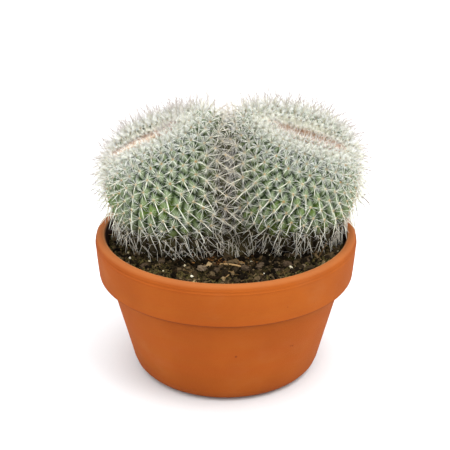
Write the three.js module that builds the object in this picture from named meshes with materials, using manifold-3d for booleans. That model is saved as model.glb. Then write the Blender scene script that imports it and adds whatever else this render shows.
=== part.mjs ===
// A potted Mammillaria parkinsonii: a cactus whose stem has forked into two spiny heads, in soil in a
// shallow terracotta pan. Millimetres, +Z up, the front towards -Y.
// The origin is the middle of the underside of the pot.
import * as THREE from "three";
import { mergeVertices } from "three/addons/utils/BufferGeometryUtils.js";
import { ImprovedNoise } from "three/addons/math/ImprovedNoise.js";
import Module from "manifold-3d";

const wasm = await Module();
wasm.setup();

// The gap that pieces keep where they touch
const CLEARANCE = 0.3;

// The pot: a pan of 18 cm across the rim and 10 cm high, with a thick band below its lip
const POT = {
  sides: 60,
  height: 100,
  lipRadius: 89.8,
  lipDrop: 3,
  lipRound: 2.4,
  bandRadius: 90,
  bandTop: 90,
  bandFootRadius: 88.2,
  bandFoot: 70,
  bandRound: 1.7,
  shoulderRadius: 81.8,
  bellyRadius: 73.7,
  belly: 39,
  heelRadius: 64,
  heel: 10,
  footRadius: 55,
  floor: 8,
  drainRadius: 9,
  innerRimRadius: 83.4,
  innerWaistRadius: 77.2,
  innerWaist: 66,
  innerHeelRadius: 60.5,
  innerHeel: 15,
  innerFootRadius: 52.5,
};

// The soil: its level, the height and spread of its lumps and crumbs, and where the rings of points on its
// surface lie, as shares of its radius
const SOIL = { level: 92, lump: 3, lumpSize: 9, crumb: 1.8, crumbSize: 5 };
const SOIL_RINGS = [1, 0.94, 0.88, 0.82, 0.76, 0.7, 0.62, 0.5, 0.3, 0];

// The two heads. Each is a rounded cushion about its growing line, which lies along its own first axis.
// outer, inner, front, back, top and under are its half sizes, line is half its growing line's length, and
// sag is how far its outer end curves down. tilt drops the outer end, lean brings the crown forward and turn
// brings the outer end forward, in degrees.
const HEADS = [
  {
    side: -1, centre: [42, 0, 136], outer: 42.5, inner: 59, front: 47.5, back: 43, top: 38.5, under: 56,
    line: 19.5, sag: 0.25, tilt: 22.5, lean: 9, turn: 4,
  },
  {
    side: 1, centre: [46.5, -0.5, 138], outer: 44, inner: 59, front: 45, back: 50.5, top: 40.5, under: 56,
    line: 21, sag: 0.13, tilt: 16, lean: 17.5, turn: 9,
  },
];

// How both heads depart from a plain cushion: the power that rounds their sides, how full they are on the
// side of the fork, how the inner end rises, how far the base comes down on the inner side and at the back
// and draws in at the outer end, and the groove that the growing line lies in. They keep rimRoom clear of the
// pot's wall.
const FORM = {
  squareness: 0.86,
  forkFullnessTop: 0.62,
  forkFullnessBase: 0.52,
  innerRise: 0.03,
  footInner: 0.55,
  footBack: 0.4,
  footOuter: 0.07,
  grooveDepth: 6,
  grooveWidth: 6,
  rimRoom: 3.5,
};

// The tubercles: their number in a ring round a head, the number of rings, how deep the gaps between them
// are, between which angles down the head the rings lie, and how the rings crowd towards the growing line
const TUBERCLES = {
  around: 28,
  rings: 16,
  depth: 4.4,
  firstDown: 1.2,
  lastDown: 162,
  crowding: 1.15,
};

// The gaps beside the growing line are shallow, and deepen from ring to ring until they are full
const FIRST_DEPTH = 0.35;
const DEPTH_PER_RING = 0.22;

// How finely the skin is measured, in steps over half a turn
const SAMPLES = 90;

// The stem under the fork and the root below it, wider along the fork than across it
const STEM = {
  sides: 24,
  widening: 1.3,
  topZ: 104,
  topRadius: 20,
  shoulderZ: 88,
  shoulderRadius: 30,
  neckZ: 66,
  neckRadius: 20,
  rootZ: 34,
  rootRadius: 6,
};

// The spines: each areole holds a long one that points away from the growing line, and two shorter ones.
// turn is measured from straight down the head and lift from its skin, in degrees. lifts and lengths run from
// the growing line to the base.
const AREOLE_RADIUS = 1;
const SPINES = [
  { turn: 0, lifts: [64, 38], lengths: [10, 15] },
  { turn: 120, lifts: [54, 34], lengths: [6, 9] },
  { turn: -120, lifts: [54, 34], lengths: [6, 9] },
];

// How spines find room: each try lifts and shortens a spine a little more. They stay this far apart, off the
// skin, the soil and the pot, and within this half width.
const ROOM = {
  tries: 8,
  turnSpread: 36,
  liftSpread: 14,
  lengthSpread: 0.24,
  liftPerTry: 6,
  steepest: 80,
  shorteningPerTry: 0.07,
  apart: 0.9,
  offSkin: 1,
  offSoil: 2.6,
  overRim: 1.5,
  halfWidth: 96,
};

// A repeatable stream of numbers from 0 to 1
function seeded(seed) {
  let state = seed;
  return () => {
    state = (state * 1664525 + 1013904223) % 4294967296;
    return state / 4294967296;
  };
}

// A closed geometry as a solid that can be joined and cut
function solidOf(geometry) {
  geometry.deleteAttribute("normal");
  geometry.deleteAttribute("uv");
  const merged = mergeVertices(geometry, 1e-3);
  return new wasm.Manifold(new wasm.Mesh({
    numProp: 3,
    vertProperties: merged.attributes.position.array,
    triVerts: new Uint32Array(merged.index.array),
  }));
}

// A solid as a named mesh
function meshOf(solid, name, material) {
  const { vertProperties, triVerts } = solid.getMesh();
  const geometry = new THREE.BufferGeometry();
  geometry.setAttribute("position", new THREE.BufferAttribute(vertProperties, 3));
  geometry.setIndex(new THREE.BufferAttribute(triVerts, 1));
  geometry.computeVertexNormals();
  const mesh = new THREE.Mesh(geometry, material);
  mesh.name = name;
  return mesh;
}

// A turned solid from a profile of [radius, height] points, with its axis up
function turned(profile, sides) {
  const points = profile.map(([radius, height]) => new THREE.Vector2(radius, height));
  return new THREE.LatheGeometry(points, sides).rotateX(Math.PI / 2);
}

// The pot's section, drawn from the drain hole out along the base, up the outside and down the inside
function potGeometry() {
  const p = POT;
  const section = new THREE.Shape();
  section.moveTo(p.drainRadius, 0);
  section.lineTo(p.footRadius, 0);
  section.absellipse(p.footRadius, p.heel, p.heelRadius - p.footRadius, p.heel, -Math.PI / 2, 0);
  section.quadraticCurveTo(p.bellyRadius, p.belly, p.shoulderRadius, p.bandFoot - p.bandRound);
  section.quadraticCurveTo(p.shoulderRadius, p.bandFoot, p.shoulderRadius + p.bandRound, p.bandFoot);
  section.lineTo(p.bandFootRadius - p.bandRound, p.bandFoot);
  section.quadraticCurveTo(p.bandFootRadius, p.bandFoot, p.bandFootRadius, p.bandFoot + p.bandRound);
  section.lineTo(p.bandRadius, p.bandTop);
  section.lineTo(p.lipRadius, p.height - p.lipDrop);
  section.quadraticCurveTo(p.lipRadius, p.height, p.lipRadius - p.lipDrop, p.height);
  section.quadraticCurveTo(p.innerRimRadius, p.height, p.innerRimRadius, p.height - p.lipRound);
  section.lineTo(p.innerWaistRadius, p.innerWaist);
  section.lineTo(p.innerHeelRadius, p.innerHeel);
  section.quadraticCurveTo(p.innerHeelRadius - 2, p.floor, p.innerFootRadius, p.floor);
  section.lineTo(p.drainRadius, p.floor);
  section.closePath();
  const profile = section.getPoints(2).map((point) => [point.x, point.y]);
  return turned(profile, p.sides);
}

// The radius of the pot's inner wall at a height
function wallRadius(height) {
  const p = POT;
  const upper = height > p.innerWaist;
  const low = upper ? [p.innerWaistRadius, p.innerWaist] : [p.innerHeelRadius, p.innerHeel];
  const high = upper ? [p.innerRimRadius, p.height - p.lipRound] : [p.innerWaistRadius, p.innerWaist];
  return THREE.MathUtils.mapLinear(height, low[1], high[1], low[0], high[0]);
}

// The height of the soil's surface at a place
const noise = new ImprovedNoise();
function soilHeight(x, y) {
  const lumps = SOIL.lump * noise.noise(x / SOIL.lumpSize, y / SOIL.lumpSize, 0.5);
  const crumbs = SOIL.crumb * noise.noise(x / SOIL.crumbSize, y / SOIL.crumbSize, 7.5);
  return SOIL.level + lumps + crumbs;
}

// The soil before the plant's hollow is cut: it fills the pot and its surface is lumpy
function soilGeometry() {
  const p = POT;
  const bottom = p.floor + CLEARANCE;
  const edge = wallRadius(SOIL.level - SOIL.lump - SOIL.crumb) - CLEARANCE;
  const profile = [
    [0, bottom],
    [p.innerFootRadius - 2, bottom],
    [p.innerHeelRadius - 4 * CLEARANCE, p.innerHeel],
    [p.innerWaistRadius - CLEARANCE, p.innerWaist],
    ...SOIL_RINGS.map((share) => [share * edge, SOIL.level]),
  ];
  const geometry = turned(profile, p.sides);
  const place = geometry.attributes.position;
  for (let i = 0; i < place.count; i++) {
    if (place.getZ(i) > SOIL.level - 1) {
      place.setZ(i, soilHeight(place.getX(i), place.getY(i)));
    }
  }
  return geometry;
}

// A point on a head's skin: around goes once round the growing line, and down goes from it to the base
function headPoint(head, around, down) {
  const { degToRad, lerp } = THREE.MathUtils;
  const signed = (value, power) => Math.sign(value) * Math.abs(value) ** power;
  const along = Math.cos(around);
  const across = Math.sin(around);
  const outward = Math.sin(down);
  const upward = Math.cos(down);
  const below = Math.max(0, -upward);
  const onForkSide = along <= 0;

  // Along the growing line, across it, and up from the head's middle
  const reach = onForkSide ? head.inner : head.outer;
  const fullness = onForkSide ? lerp(FORM.forkFullnessTop, FORM.forkFullnessBase, below) : 1;
  const drawnIn = onForkSide ? 1 : 1 - FORM.footOuter * below;
  const p = along * (head.line + (reach - head.line) * outward ** fullness) * drawnIn;
  const q = across * (across > 0 ? head.back : head.front) * signed(outward, FORM.squareness);
  let r = (upward > 0 ? head.top : head.under) * signed(upward, FORM.squareness);
  r += ((p > 0 ? -head.sag : FORM.innerRise) * p * p) / head.outer;
  r -= (FORM.footInner * Math.max(0, -p) + FORM.footBack * Math.max(0, q)) * below;
  if (upward > 0) {
    const within = Math.max(0, 1 - (Math.abs(p) / (head.line + FORM.grooveWidth)) ** 4);
    r -= FORM.grooveDepth * Math.exp(-((q / FORM.grooveWidth) ** 2)) * within;
  }

  const pose = new THREE.Euler(degToRad(head.lean), degToRad(head.tilt), -degToRad(head.turn), "ZXY");
  const point = new THREE.Vector3(p, q, r).applyEuler(pose).add(new THREE.Vector3(...head.centre));
  const room = POT.innerRimRadius - FORM.rimRoom + Math.max(0, point.z - POT.height - 1);
  const squeeze = Math.min(1, room / Math.hypot(point.x, point.y));
  point.x *= head.side * squeeze;
  point.y *= squeeze;
  return point;
}

// The skin's outward normal, the way down the head and the way round it, at a point
function headFrame(head, around, down) {
  const step = 1e-3;
  const point = headPoint(head, around, down);
  const away = headPoint(head, around, down + step).sub(point).normalize();
  const round = headPoint(head, around + step, down).sub(point);
  const normal = away.clone().cross(round).multiplyScalar(head.side).normalize();
  return { point, normal, away, round: normal.clone().cross(away).multiplyScalar(head.side) };
}

// The value that ys has where the rising xs reach x
function readAt(xs, ys, x) {
  const found = xs.findIndex((value) => value >= x);
  const after = found < 0 ? xs.length - 1 : Math.max(1, found);
  return THREE.MathUtils.mapLinear(x, xs[after - 1], xs[after], ys[after - 1], ys[after]);
}

// The length of a line of points from its start to each of them
function lengthsAlong(points) {
  const lengths = [0];
  for (let i = 1; i < points.length; i++) {
    lengths.push(lengths[i - 1] + points[i].distanceTo(points[i - 1]));
  }
  return lengths;
}

// A line down the skin from the growing line: it gives the down angle at a share of its length
function meridian(head, around) {
  const first = THREE.MathUtils.degToRad(TUBERCLES.firstDown);
  const last = THREE.MathUtils.degToRad(TUBERCLES.lastDown);
  const downs = Array.from({ length: SAMPLES + 1 }, (_, i) => first + ((last - first) * i) / SAMPLES);
  const lengths = lengthsAlong(downs.map((down) => headPoint(head, around, down)));
  return (share) => readAt(lengths, downs, share * lengths[SAMPLES]);
}

// Every lattice point of a head, ring by ring: tubercle tips on the skin, and the gaps between them sunk in
// it. A ring's points are evenly spaced along it, with as many behind the growing line as before it.
function headLattice(head) {
  const { around, rings, crowding, depth } = TUBERCLES;
  const samples = Array.from({ length: 2 * SAMPLES + 1 }, (_, i) => i);
  const angles = samples.map((i) => (Math.PI * i) / SAMPLES);
  const meridians = angles.map((angle) => meridian(head, angle));
  return Array.from({ length: rings }, (_, ring) => {
    const share = (ring / (rings - 1)) ** crowding;
    const downs = meridians.map((down) => down(share));
    const lengths = lengthsAlong(angles.map((angle, i) => headPoint(head, angle, downs[i])));
    const sink = depth * Math.min(1, FIRST_DEPTH + DEPTH_PER_RING * ring);
    return Array.from({ length: 2 * around }, (_, i) => {
      const start = i < around ? 0 : SAMPLES;
      const part = (i % around) / around;
      const wanted = THREE.MathUtils.lerp(lengths[start], lengths[start + SAMPLES], part);
      const frame = headFrame(head, readAt(lengths, angles, wanted), readAt(lengths, downs, wanted));
      const tip = (i + ring) % 2 === 0;
      const place = frame.point.clone().addScaledVector(frame.normal, tip ? 0 : -sink);
      return { ...frame, tip, ring, place };
    });
  });
}

// How far a point stands off a head, measured at the nearest tubercle tip
function heightOver(tips, point) {
  let nearest = tips[0];
  let least = Infinity;
  for (const tip of tips) {
    const distance = tip.point.distanceToSquared(point);
    if (distance < least) {
      least = distance;
      nearest = tip;
    }
  }
  return point.clone().sub(nearest.point).dot(nearest.normal);
}

// Whether a spine has room: off both heads, the soil, the pot and the spines set before it
function hasRoom(spine, placed) {
  for (const share of [0.3, 0.65, 1]) {
    const point = spine.at(share, new THREE.Vector3());
    const onSkin = tipsOfHeads.some((tips) => heightOver(tips, point) < ROOM.offSkin);
    const inSoil = point.z < soilHeight(point.x, point.y) + ROOM.offSoil;
    const overRim = Math.hypot(point.x, point.y) > POT.innerRimRadius - FORM.rimRoom;
    if (onSkin || inSoil || (overRim && point.z < POT.height + ROOM.overRim)) {
      return false;
    }
  }
  const longest = SPINES[0].lengths[1];
  return Math.abs(spine.end.x) < ROOM.halfWidth && placed.every((other) => {
    const near = other.start.distanceTo(spine.start) < 2 * longest;
    return !near || other.distanceSqToLine3(spine) > ROOM.apart ** 2;
  });
}

// The ends of an areole's spines, or null for each that finds no room
function spineEnds(tip, placed, random) {
  const { degToRad, lerp } = THREE.MathUtils;
  const age = tip.ring / (TUBERCLES.rings - 1);
  const own = [];
  const ends = SPINES.map((kind) => {
    for (let n = 0; n < ROOM.tries; n++) {
      const turn = degToRad(kind.turn + ROOM.turnSpread * (random() - 0.5));
      const lifted = lerp(...kind.lifts, age) + ROOM.liftPerTry * n + ROOM.liftSpread * (random() - 0.5);
      const lift = degToRad(Math.min(ROOM.steepest, lifted));
      const fullLength = lerp(...kind.lengths, age) * (1 + ROOM.lengthSpread * (random() - 0.5));
      const length = fullLength * (1 - ROOM.shorteningPerTry * n);
      const end = tip.point.clone()
        .addScaledVector(tip.normal, length * Math.sin(lift))
        .addScaledVector(tip.away, length * Math.cos(lift) * Math.cos(turn))
        .addScaledVector(tip.round, length * Math.cos(lift) * Math.sin(turn));
      const spine = new THREE.Line3(tip.point, end);
      if (hasRoom(spine, placed)) {
        own.push(spine);
        return end;
      }
    }
    return null;
  });
  placed.push(...own);
  return ends;
}

// One head as a closed skin of four-sided tubercles. endsOf gives the ends of a tip's spines, and grow swells
// the skin outwards.
function headSolid(head, lattice, endsOf, grow) {
  const positions = [];
  const triangles = [];
  const face = (...corners) => triangles.push(corners);
  const add = (point) => {
    positions.push(point.x, point.y, point.z);
    return positions.length / 3 - 1;
  };
  const indices = lattice.map((ring) => ring.map(
    (node) => add(node.place.clone().addScaledVector(node.normal, grow)),
  ));
  const count = 2 * TUBERCLES.around;
  const last = TUBERCLES.rings - 1;
  const at = (ring, i) => indices[ring][(i + count) % count];

  // A tubercle is a pyramid between the gaps below, after, above and before it. Where spines stand, its top
  // is a small triangle, and each third of that is the foot of a spine.
  const tubercle = (node, middle, below, after, above, before) => {
    const ends = endsOf(node);
    if (ends.every((end) => end === null)) {
      face(below, after, middle);
      face(after, above, middle);
      face(above, before, middle);
      face(before, below, middle);
      return;
    }
    const [a, b, c] = [60, 180, 300].map(THREE.MathUtils.degToRad).map((turn) => add(node.place.clone()
      .addScaledVector(node.away, AREOLE_RADIUS * Math.cos(turn))
      .addScaledVector(node.round, AREOLE_RADIUS * Math.sin(turn))));
    face(below, after, a);
    face(after, b, a);
    face(after, above, b);
    face(above, before, b);
    face(before, c, b);
    face(before, below, c);
    face(below, a, c);
    [[c, a], [a, b], [b, c]].forEach(([from, to], n) => {
      if (ends[n] === null) {
        face(from, to, middle);
        return;
      }
      const end = add(ends[n]);
      face(from, to, end);
      face(to, middle, end);
      face(middle, from, end);
    });
  };

  lattice.forEach((ring, k) => ring.forEach((node, i) => {
    if (node.tip && k > 0 && k < last) {
      tubercle(node, at(k, i), at(k + 1, i), at(k, i + 1), at(k - 1, i), at(k, i - 1));
    }
  }));

  // The first and last rings hold half tubercles. The base is closed by a fan round its middle.
  const middle = new THREE.Vector3();
  lattice[last].forEach((node) => middle.addScaledVector(node.place, 1 / count));
  const under = add(middle);
  for (let i = 0; i < count; i++) {
    if (lattice[0][i].tip) {
      face(at(1, i), at(0, i + 1), at(0, i));
      face(at(0, i - 1), at(1, i), at(0, i));
    }
    if (lattice[last][i].tip) {
      face(at(last, i + 1), at(last - 1, i), at(last, i));
      face(at(last - 1, i), at(last, i - 1), at(last, i));
    }
    face(at(last, i + 1), at(last, i), under);
  }

  // The growing line is closed by a strip that joins the points behind it to those before it
  for (let i = 0; i < TUBERCLES.around; i++) {
    if (i > 0) {
      face(at(0, i), at(0, i + 1), at(0, -i));
    }
    if (i < TUBERCLES.around - 1) {
      face(at(0, i + 1), at(0, -i - 1), at(0, -i));
    }
  }

  const facingOut = head.side > 0 ? triangles : triangles.map(([a, b, c]) => [a, c, b]);
  return new wasm.Manifold(new wasm.Mesh({
    numProp: 3,
    vertProperties: new Float32Array(positions),
    triVerts: new Uint32Array(facingOut.flat()),
  }));
}

// The stem under the fork and its root, oval because it carries two heads side by side
function stemSolid(grow) {
  const s = STEM;
  const profile = [
    [0, s.rootZ - grow],
    [s.rootRadius + grow, s.rootZ - grow],
    [s.neckRadius + grow, s.neckZ],
    [s.shoulderRadius + grow, s.shoulderZ],
    [s.topRadius + grow, s.topZ + grow],
    [0, s.topZ + grow],
  ];
  return solidOf(turned(profile, s.sides).scale(s.widening, 1, 1));
}

const latticeOfHeads = HEADS.map(headLattice);
const tipsOfHeads = latticeOfHeads.map((lattice) => lattice.flat().filter((node) => node.tip));
const NO_SPINES = SPINES.map(() => null);

// The whole plant: both heads with their spines, joined over the stem
function plantSolid() {
  const random = seeded(41);
  const placed = [];
  const [left, right] = HEADS.map((head, n) => headSolid(head, latticeOfHeads[n], (node) => {
    const hidden = heightOver(tipsOfHeads[1 - n], node.point) < ROOM.offSkin;
    const buried = node.point.z < soilHeight(node.point.x, node.point.y) + ROOM.offSoil;
    return hidden || buried ? NO_SPINES : spineEnds(node, placed, random);
  }, 0));
  return left.add(right).add(stemSolid(0));
}

// The hollow that the plant fills in the soil. It clears the corners of the areoles too.
function plantHollow() {
  const grow = CLEARANCE + 0.7 * AREOLE_RADIUS;
  const [left, right] = HEADS.map((head, n) => headSolid(head, latticeOfHeads[n], () => NO_SPINES, grow));
  return left.add(right).add(stemSolid(CLEARANCE));
}

const terracotta = new THREE.MeshStandardMaterial({ color: 0xc46a35, roughness: 0.85, metalness: 0 });
const pottingMix = new THREE.MeshStandardMaterial({ color: 0x2c2119, roughness: 1, metalness: 0 });
const spinySkin = new THREE.MeshStandardMaterial({ color: 0x9aa58a, roughness: 0.8, metalness: 0 });

const pottedCactus = new THREE.Group();
pottedCactus.add(meshOf(solidOf(potGeometry()), "pot", terracotta));
pottedCactus.add(meshOf(solidOf(soilGeometry()).subtract(plantHollow()), "soil", pottingMix));
pottedCactus.add(meshOf(plantSolid(), "cactus", spinySkin));

export default pottedCactus;
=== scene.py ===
from math import cos, pi, radians, sin, tau

import bpy
import numpy as np
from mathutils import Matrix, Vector, noise


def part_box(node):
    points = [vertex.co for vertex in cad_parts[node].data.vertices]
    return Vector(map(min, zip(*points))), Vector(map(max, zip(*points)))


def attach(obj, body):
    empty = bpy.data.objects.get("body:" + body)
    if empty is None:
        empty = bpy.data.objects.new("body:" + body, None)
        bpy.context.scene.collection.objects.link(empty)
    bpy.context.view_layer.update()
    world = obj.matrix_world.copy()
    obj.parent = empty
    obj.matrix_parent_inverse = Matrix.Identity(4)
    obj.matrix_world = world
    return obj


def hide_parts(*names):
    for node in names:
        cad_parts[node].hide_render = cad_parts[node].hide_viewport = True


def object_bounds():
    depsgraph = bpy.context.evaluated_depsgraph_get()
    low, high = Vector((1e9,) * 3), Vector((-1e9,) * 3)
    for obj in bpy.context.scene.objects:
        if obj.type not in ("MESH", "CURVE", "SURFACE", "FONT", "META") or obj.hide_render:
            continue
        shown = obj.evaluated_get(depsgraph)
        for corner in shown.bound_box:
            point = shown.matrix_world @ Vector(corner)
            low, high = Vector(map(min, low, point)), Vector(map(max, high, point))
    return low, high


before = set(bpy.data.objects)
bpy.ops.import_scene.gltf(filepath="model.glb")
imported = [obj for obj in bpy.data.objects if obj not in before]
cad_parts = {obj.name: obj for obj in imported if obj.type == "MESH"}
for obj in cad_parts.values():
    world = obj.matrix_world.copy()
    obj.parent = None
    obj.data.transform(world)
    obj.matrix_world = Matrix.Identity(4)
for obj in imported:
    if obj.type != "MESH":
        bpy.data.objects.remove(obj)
cad_low, cad_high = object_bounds()

# Driving sizes, taken from the frame where it holds them
POT_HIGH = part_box("pot")[1]
RIM = POT_HIGH.x
HEIGHT = POT_HIGH.z
INNER_RIM = RIM - 0.0066
WALL_FOOT = 0.008
SOIL_LEVEL = HEIGHT - 0.008
SOIL_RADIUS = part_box("soil")[1].x
CREASE = 0.7 * HEIGHT

# The two heads. Each is a rounded cushion about its growing line. outer, inner, front, back, top and under
# are its half sizes, line is half its growing line's length, and sag is how far its outer end curves down.
# tilt drops the outer end, lean brings the crown forward and turn brings the outer end forward. band is
# how many rings the new growth takes up before the line.
HEADS = [
    dict(side=-1, centre=(0.042, 0, 0.136), outer=0.0425, inner=0.059, front=0.0475, back=0.043,
         top=0.0385, under=0.056, line=0.0195, sag=0.33, tilt=radians(22.5), lean=radians(9),
         turn=radians(4), band=2.4),
    dict(side=1, centre=(0.0465, -0.0005, 0.138), outer=0.044, inner=0.059, front=0.045, back=0.0505,
         top=0.0405, under=0.056, line=0.021, sag=0.2, tilt=radians(16), lean=radians(17.5),
         turn=radians(9), band=1.9),
]
# What the heads share: how square they are, how full they are towards the fork at the top and at the base,
# how much their inner ends rise and their sides draw in below, the groove along the growing line, and the
# room that they leave inside the pot's rim
SQUARENESS = 0.86
FORK_FULLNESS_TOP = 0.62
FORK_FULLNESS_BASE = 0.52
INNER_RISE = 0.03
FOOT_INNER = 0.55
FOOT_BACK = 0.4
FOOT_OUTER = 0.07
GROOVE_DEPTH = 0.006
GROOVE_WIDTH = 0.006
RIM_ROOM = 0.0035

# The stem under the fork and its root, as radius and height, and how much wider they are along the fork
STEM = [(0, 0.034), (0.006, 0.034), (0.02, 0.066), (0.03, 0.088), (0.02, 0.104), (0, 0.104)]
STEM_WIDENING = 1.3

# The tubercles: how many stand in a ring round a head, in how many rings, how the rings crowd at the crown,
# the angles of the first and the last ring from the crown, the depths of the gaps and of their corners, and
# the number of steps in the skin from one place to the next
AROUND = 34
RINGS = 20
CROWDING = 1.2
FIRST_DOWN = radians(1.2)
LAST_DOWN = radians(162)
TUBERCLE_DEPTH = 0.0042
CORNER_DEPTH = 0.0016
SKIN_STEPS = 5

# The spines of one areole: the number of fine radials, and for each stout central its turn from straight
# down the head, in degrees, and its length. The lowest areoles have two long ones that hang and cross.
# Then come the length of every central at the crown, and the lengths of old and young radials.
RADIALS = 34
CENTRALS = [(-20, 0.0136), (80, 0.008), (-110, 0.0074), (170, 0.0062)]
LOW_CENTRALS = [(18, 0.0128), (44, 0.0095), (-44, 0.0095), (-18, 0.0128)]
CROWN_CENTRAL = 0.0122
OLD_RADIAL = 0.005
YOUNG_RADIAL = 0.0056
# The height under which areoles are low ones, and the share of the frame's box that spines may pass it by
LOW_LINE = 0.117
BOX_SPARE = 0.028
# The new growth: how many rings of it, and how many without areoles, lie behind the growing line, how far
# its widest place is turned outwards, in radians, and the number of spines at each place in it
GROWTH_BEHIND = 0.4
BARE_BEHIND = 0.5
BAND_OUTWARD = 0.2
YOUNG_SPINES = 5
# How thick the spines are at the root, and how little they narrow before the point: 0 is a plain cone
YOUNG_THICKNESS = 0.00034
RADIAL_THICKNESS = 0.00014
CROWN_RADIAL_THICKNESS = 0.00026
CENTRAL_THICKNESS = 0.00062
TAPER = 0.7


# Small tools

def unit(vectors):
    return vectors / np.linalg.norm(vectors, axis=-1, keepdims=True)


def signed_power(values, power):
    return np.sign(values) * np.abs(values) ** power


def blend(low, high, share):
    return low + (high - low) * share


def smooth_step(low, high, values):
    share = np.clip((values - low) / (high - low), 0, 1)
    return share * share * (3 - 2 * share)


def noise_at(points, size, offset=0.0):
    """Smooth noise from -1 to 1 at each point, with lumps of the given size."""
    shift = Vector((offset, offset, offset))
    return np.array([noise.noise(Vector(point) / size + shift) for point in np.asarray(points)])


def colour(code):
    """A colour code such as c46a35 as the linear colour that shaders use."""
    parts = [int(code[i:i + 2], 16) / 255 for i in (0, 2, 4)]
    return [p / 12.92 if p <= 0.04045 else ((p + 0.055) / 1.055) ** 2.4 for p in parts] + [1]


# Modelling

def begin(name, add, **settings):
    """Adds a primitive that is alone in the selection."""
    bpy.ops.object.select_all(action="DESELECT")
    add(**settings)
    piece = bpy.context.object
    piece.name = name
    return piece


def edit(*steps):
    """Does each step on all of the active piece in edit mode."""
    bpy.ops.object.mode_set(mode="EDIT")
    for step in steps:
        bpy.ops.mesh.select_all(action="SELECT")
        step()
    bpy.ops.object.mode_set(mode="OBJECT")


def tidy_shell():
    """Merges doubles and turns the faces of the active piece outwards."""
    edit(lambda: bpy.ops.mesh.remove_doubles(threshold=1e-6),
         lambda: bpy.ops.mesh.normals_make_consistent(inside=False))


def points_of(piece):
    flat = np.empty(len(piece.data.vertices) * 3)
    piece.data.vertices.foreach_get("co", flat)
    return flat.reshape(-1, 3)


def move_points(piece, points):
    piece.data.vertices.foreach_set("co", np.asarray(points, np.float32).ravel())
    piece.data.update()


def triangles_of(piece):
    piece.data.calc_loop_triangles()
    flat = np.empty(len(piece.data.loop_triangles) * 3, int)
    piece.data.loop_triangles.foreach_get("vertices", flat)
    return flat.reshape(-1, 3)


def rounded(corners, steps=5):
    """A profile through corners of (radius, height, rounding), each corner eased by its rounding."""
    profile = []
    for n, (radius, height, rounding) in enumerate(corners):
        corner = np.array([radius, height])
        if not rounding:
            profile.append(corner)
            continue
        before = np.array(corners[n - 1][:2])
        after = np.array(corners[(n + 1) % len(corners)][:2])
        start = corner + unit(before - corner) * rounding
        end = corner + unit(after - corner) * rounding
        for share in np.linspace(0, 1, steps):
            profile.append(blend(blend(start, corner, share), blend(corner, end, share), share))
    return profile


def spun(name, profile, steps):
    """A shape drawn by extruding one point along a profile of (radius, height), then spun about Z."""
    piece = begin(name, bpy.ops.mesh.primitive_plane_add, size=0.001)
    bpy.ops.object.mode_set(mode="EDIT")
    bpy.ops.mesh.select_all(action="SELECT")
    bpy.ops.mesh.merge(type="CENTER")
    bpy.ops.transform.translate(value=(profile[0][0], 0, profile[0][1]))
    for (radius, height), (next_radius, next_height) in zip(profile, profile[1:]):
        step = (next_radius - radius, 0, next_height - height)
        bpy.ops.mesh.extrude_region_move(TRANSFORM_OT_translate={"value": step})
    bpy.ops.mesh.select_all(action="SELECT")
    bpy.ops.mesh.spin(steps=steps, angle=tau, center=(0, 0, 0), axis=(0, 0, 1))
    bpy.ops.object.mode_set(mode="OBJECT")
    tidy_shell()
    return piece


def add_mark(mesh, name, values):
    """Gives each point of a mesh a named value, which shaders can read."""
    values = np.asarray(values, np.float32).ravel()
    mesh.attributes.new(name, "FLOAT", "POINT").data.foreach_set("value", values)


def merged(name, points, triangles, marks):
    """One mesh from many copies: points is (copies, points, 3), triangles are a single copy's, and marks
    are named values for each point."""
    copies, size = points.shape[:2]
    corners = (triangles[None] + size * np.arange(copies)[:, None, None]).ravel()
    mesh = bpy.data.meshes.new(name)
    mesh.vertices.add(copies * size)
    mesh.loops.add(len(corners))
    mesh.polygons.add(len(corners) // 3)
    mesh.vertices.foreach_set("co", points.astype(np.float32).ravel())
    mesh.loops.foreach_set("vertex_index", corners.astype(np.int32))
    mesh.polygons.foreach_set("loop_start", np.arange(0, len(corners), 3, dtype=np.int32))
    mesh.polygons.foreach_set("use_smooth", np.ones(len(corners) // 3, bool))
    mesh.update(calc_edges=True)
    for mark, values in marks.items():
        add_mark(mesh, mark, np.broadcast_to(values, (copies, size)))
    piece = bpy.data.objects.new(name, mesh)
    bpy.context.scene.collection.objects.link(piece)
    return piece


def taken(template):
    """The points and triangles of a template, which is then removed."""
    shape = points_of(template), triangles_of(template)
    bpy.data.objects.remove(template)
    return shape


def finished(piece, finish, node):
    """Gives a piece its finish and slot, and lets it stand for its node in the frame."""
    piece.data.materials.clear()
    piece.data.materials.append(finish)
    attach(piece, "root")
    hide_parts(node)
    return piece


# Shading

class Wire:
    """A value in a shader. Sums on wires add the nodes that work them out."""

    def __init__(self, shader, socket):
        self.shader = shader
        self.socket = socket

    def maths(self, operation, first, second=0.0):
        return self.shader.add("Math", {"operation": operation}, {0: first, 1: second})

    def __add__(self, other):
        return self.maths("ADD", self, other)

    def __sub__(self, other):
        return self.maths("SUBTRACT", self, other)

    def __rsub__(self, other):
        return self.maths("SUBTRACT", other, self)

    def __mul__(self, other):
        return self.maths("MULTIPLY", self, other)

    def __pow__(self, other):
        return self.maths("POWER", self, other)

    __radd__ = __add__
    __rmul__ = __mul__

    def ramp(self, low, high):
        """0 below low, 1 above high and smooth between them."""
        settings = {"interpolation_type": "SMOOTHSTEP"}
        return self.shader.add("MapRange", settings, {"Value": self, "From Min": low, "From Max": high})


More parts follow.
